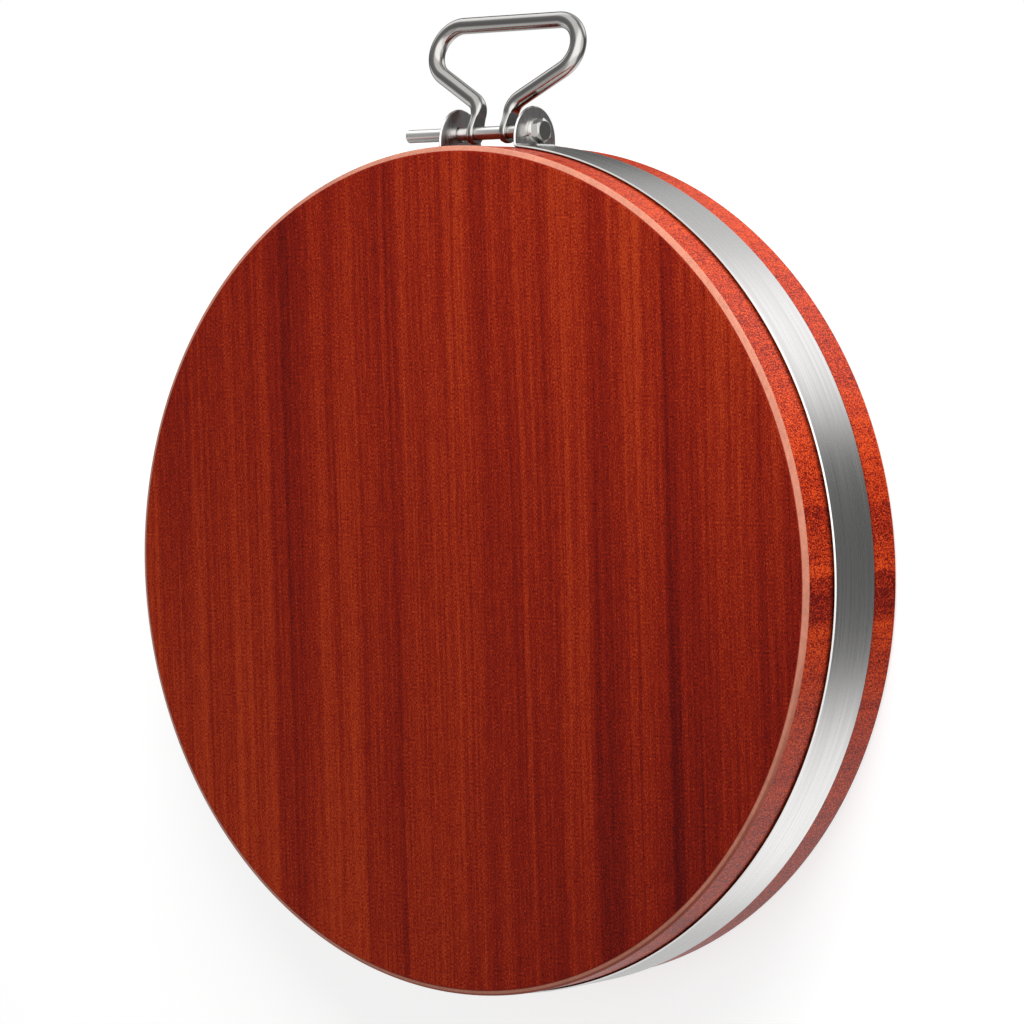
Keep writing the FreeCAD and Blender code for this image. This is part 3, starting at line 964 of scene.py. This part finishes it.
class CHOPPINGBLOCK_OT_stage(Operator):
    """Set up the floor, the studio light and the camera"""

    bl_idname = "chopping_block.stage"
    bl_label = "Stage"

    def execute(self, context):
        stage = context.scene.chopping_block.stage
        context.scene.view_settings.view_transform = "Standard"
        self.add_floor(stage)
        self.add_world(context)
        for name, place, size, power in LAMPS:
            self.add_lamp(context, name, place, size, power)
        self.add_camera(context, stage)
        return {"FINISHED"}

    def seen_rays(self, tree, rays):
        """1 for the rays that show what lies behind: to the camera, in gloss and through glass."""
        direct = add_node(tree, "ShaderNodeMath", {0: rays["Is Camera Ray"], 1: rays["Is Glossy Ray"]},
                          operation="MAXIMUM")
        return add_node(tree, "ShaderNodeMath", {0: direct.outputs[0], 1: rays["Is Transmission Ray"]},
                        operation="MAXIMUM").outputs[0]

    def add_floor(self, stage):
        """A matt white floor that glows enough to stay white and still takes the shadow."""
        bm = bmesh.new()
        bmesh.ops.create_grid(bm, x_segments=1, y_segments=1, size=FLOOR_SIZE / 2)
        bmesh.ops.translate(bm, verts=bm.verts, vec=(0, FLOOR_EDGE - FLOOR_SIZE / 2, BLOCK_LOW.z))
        floor = new_object("floor", bm)
        floor.visible_glossy = False
        material, tree = new_material("paper_matt_white")
        seen = self.seen_rays(tree, add_node(tree, "ShaderNodeLightPath").outputs)
        share = add_node(tree, "ShaderNodeMath", {0: seen, 1: FLOOR_SHARE}, operation="MULTIPLY")
        paper = add_node(tree, "ShaderNodeBsdfDiffuse", {"Color": (*stage.floor, 1.0)})
        light = add_node(tree, "ShaderNodeEmission", {"Color": WHITE, "Strength": FLOOR_GLOW})
        both = add_node(tree, "ShaderNodeMixShader",
                        {0: share.outputs[0], 1: paper.outputs[0], 2: light.outputs[0]})
        add_node(tree, "ShaderNodeOutputMaterial", {"Surface": both.outputs[0]})
        floor.data.materials.append(material)

    def add_world(self, context):
        """White behind the object, soft even light on it, and a studio's panels in its steel."""
        world = bpy.data.worlds.new("studio")
        context.scene.world = world
        world.use_nodes = True
        tree = world.node_tree
        tree.nodes.clear()
        direction = add_node(tree, "ShaderNodeTexCoord").outputs["Generated"]
        level = PANEL_BASE
        for centre, full, fade, panel in PANELS:
            towards = add_node(tree, "ShaderNodeVectorMath", {0: direction, 1: Vector(centre).normalized()},
                               operation="DOT_PRODUCT")
            mask = add_node(tree, "ShaderNodeMapRange",
                            {"Value": towards.outputs["Value"], "From Min": math.cos(math.radians(fade)),
                             "From Max": math.cos(math.radians(full))}, interpolation_type="SMOOTHSTEP")
            level = add_node(tree, "ShaderNodeMix", {0: mask.outputs[0], 2: level, 3: panel}).outputs[0]
        rays = add_node(tree, "ShaderNodeLightPath").outputs
        backdrop = add_node(tree, "ShaderNodeMix", {0: rays["Is Glossy Ray"], 2: 1.0, 3: level})
        strength = add_node(tree, "ShaderNodeMix",
                            {0: self.seen_rays(tree, rays), 2: WORLD_LEVEL, 3: backdrop.outputs[0]})
        sky = add_node(tree, "ShaderNodeBackground", {"Color": WHITE, "Strength": strength.outputs[0]})
        add_node(tree, "ShaderNodeOutputWorld", {"Surface": sky.outputs[0]})

    def add_lamp(self, context, name, place, size, power):
        """A soft square lamp aimed at the middle of the slab."""
        light = bpy.data.lights.new(name, "AREA")
        light.size = size
        light.energy = power
        lamp = bpy.data.objects.new(name, light)
        lamp.location = place
        aim = Vector((0, 0, BLOCK_HIGH.z)) - Vector(place)
        lamp.rotation_euler = aim.to_track_quat("-Z", "Y").to_euler()
        lamp.visible_glossy = False
        context.scene.collection.objects.link(lamp)

    def add_camera(self, context, stage):
        """The camera at the picture's angle."""
        data = bpy.data.cameras.new("camera")
        data.lens = stage.lens
        data.sensor_width = FRAME_WIDTH
        camera = bpy.data.objects.new("camera", data)
        turned = (Matrix.Rotation(stage.camera_turn, 4, "Y") @ Matrix.Rotation(stage.camera_tip, 4, "X")
                  @ Matrix.Rotation(stage.camera_roll, 4, "Z"))
        camera.matrix_world = Matrix.Translation(stage.camera_place) @ turned
        context.scene.collection.objects.link(camera)
        context.scene.camera = camera


class CHOPPINGBLOCK_PT_panel(Panel):
    """Steps that build the chopping block"""

    bl_idname = "CHOPPINGBLOCK_PT_panel"
    bl_label = "Chopping Block"
    bl_space_type = "VIEW_3D"
    bl_region_type = "UI"
    bl_category = "Chopping Block"

    def draw(self, context):
        settings = context.scene.chopping_block
        for step, group in zip(STEPS, (settings.wood, settings.hoop, settings.fasteners, settings.handle,
                                       settings.stage)):
            box = self.layout.box()
            box.operator(step.bl_idname)
            for name in group.__annotations__:
                box.prop(group, name)


STEPS = (
    CHOPPINGBLOCK_OT_wood_block,
    CHOPPINGBLOCK_OT_steel_hoop,
    CHOPPINGBLOCK_OT_fasteners,
    CHOPPINGBLOCK_OT_carry_handle,
    CHOPPINGBLOCK_OT_stage,
)
CLASSES = (
    WoodBlockSettings,
    HoopSettings,
    FastenerSettings,
    HandleSettings,
    StageSettings,
    ChoppingBlockSettings,
    *STEPS,
    CHOPPINGBLOCK_PT_panel,
)


def register():
    for cls in CLASSES:
        bpy.utils.register_class(cls)
    bpy.types.Scene.chopping_block = PointerProperty(type=ChoppingBlockSettings)


def unregister():
    del bpy.types.Scene.chopping_block
    for cls in reversed(CLASSES):
        bpy.utils.unregister_class(cls)


def main():
    """Builds the object step by step."""
    register()
    bpy.ops.chopping_block.wood_block()
    bpy.ops.chopping_block.steel_hoop()
    bpy.ops.chopping_block.fasteners()
    bpy.ops.chopping_block.carry_handle()
    bpy.ops.chopping_block.stage()


if __name__ == "__main__":
    main()
